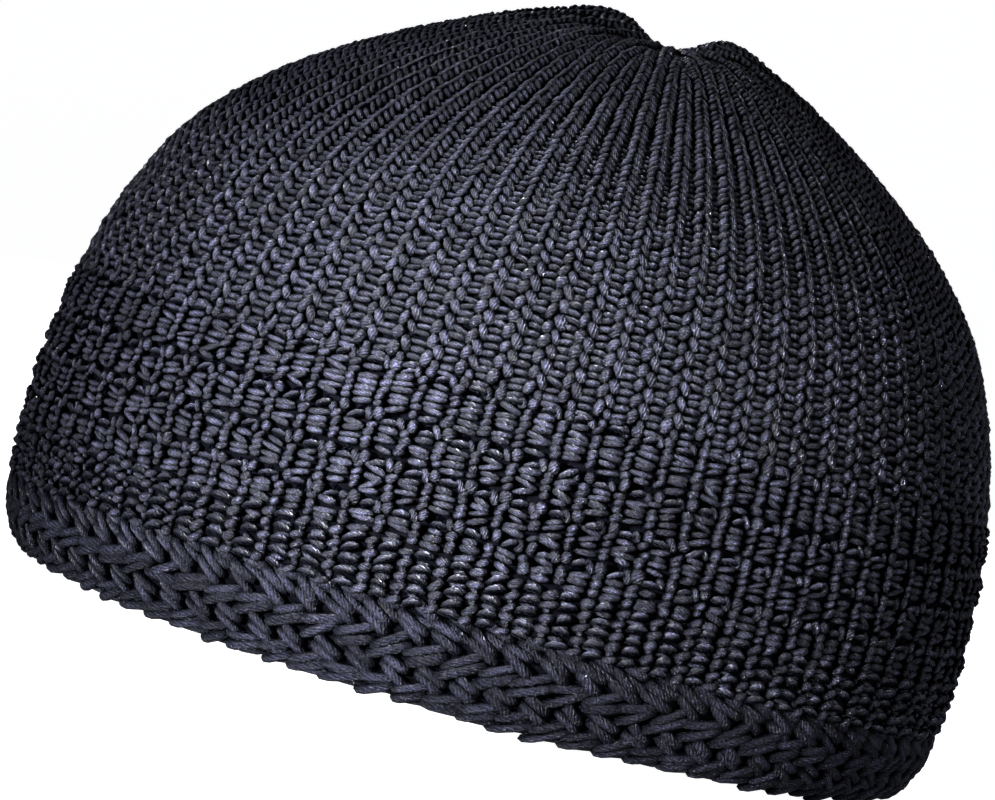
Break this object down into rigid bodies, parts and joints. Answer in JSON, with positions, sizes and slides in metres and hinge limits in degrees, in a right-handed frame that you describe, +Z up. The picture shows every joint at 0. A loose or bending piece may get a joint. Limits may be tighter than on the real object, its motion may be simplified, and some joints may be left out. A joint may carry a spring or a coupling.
{
  "type": "kufi",
  "caption": "Knitted skullcap: a ribbed dome gathered at a sunk centre between two low humps, on a rim of two herringbone braids, hollow and open below.",
  "frame": {"origin": "centre of the cap's outline on the plane that its rim rests on", "axes": "+Z up to the gathered top, +X to the back of the head, -X to the forehead, +Y and -Y to the ears"},
  "size_m": [0.204, 0.172, 0.1417],
  "materials": {
    "knit_yarn": "near-black blue knitted yarn with a satin sheen",
    "braid_yarn": "near-black blue braided yarn with a satin sheen"
  },
  "bodies": {
    "root": {"crown": "knit_yarn", "upper_braid": "braid_yarn", "lower_braid": "braid_yarn"}
  },
  "joints": []
}
